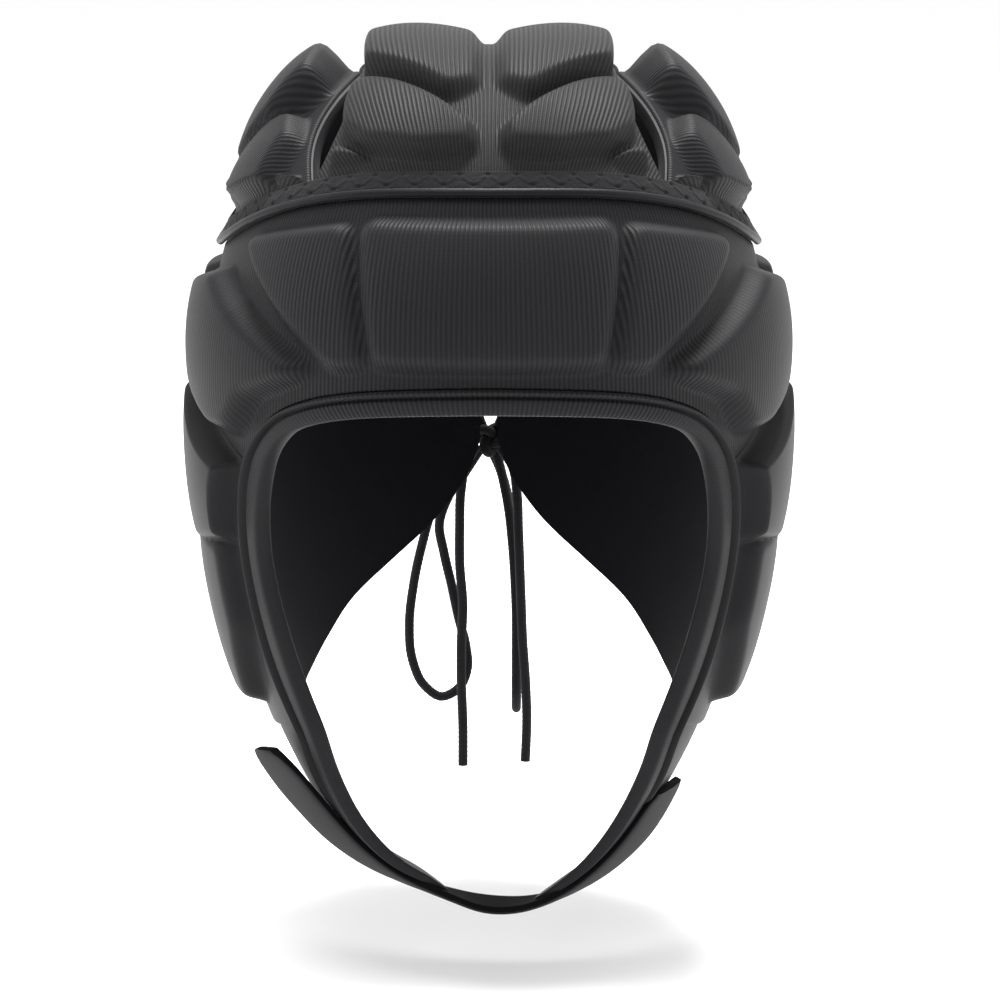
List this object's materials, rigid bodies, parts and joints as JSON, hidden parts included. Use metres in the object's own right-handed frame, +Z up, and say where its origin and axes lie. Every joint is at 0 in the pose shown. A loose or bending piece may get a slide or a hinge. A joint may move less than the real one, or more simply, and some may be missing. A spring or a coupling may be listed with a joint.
{
  "type": "soft shell football helmet",
  "caption": "Soft padded helmet with an open face, moulded pads, cheek pieces, a chin strap and a lace at the nape.",
  "frame": {"origin": "inside of the crown at its top, where the head carries the helmet", "axes": "+Z up through the crown, -Y towards the face opening, +X to the wearer's left"},
  "size_m": [0.1856, 0.2297, 0.2647],
  "materials": {
    "padded_knit": "ribbed knit over foam",
    "trim_knit": "ribbed binding, tape and piping",
    "strap_cloth": "flat knit with brushed inner face",
    "lace_cord": "braided cord",
    "eyelet_metal": "black enamel"
  },
  "bodies": {
    "root": {"crown_centre": "padded_knit", "brow_panel": "padded_knit", "crown_side_left": "padded_knit", "side_panel_left": "padded_knit", "rear_panel_left": "padded_knit", "crown_side_right": "padded_knit", "side_panel_right": "padded_knit", "rear_panel_right": "padded_knit", "lace_eyelet_left_1": "eyelet_metal", "lace_eyelet_left_2": "eyelet_metal", "lace_eyelet_left_3": "eyelet_metal", "lace_eyelet_right_1": "eyelet_metal", "lace_eyelet_right_2": "eyelet_metal", "lace_eyelet_right_3": "eyelet_metal", "crown_seam_tape": "trim_knit", "crown_piping": "trim_knit", "face_binding": "trim_knit", "chin_strap": "strap_cloth", "back_lace": "lace_cord", "lace_knot": "lace_cord", "lace_loop_left": "lace_cord", "lace_loop_right": "lace_cord", "lace_tail_left": "lace_cord", "lace_tail_right": "lace_cord"}
  },
  "joints": []
}
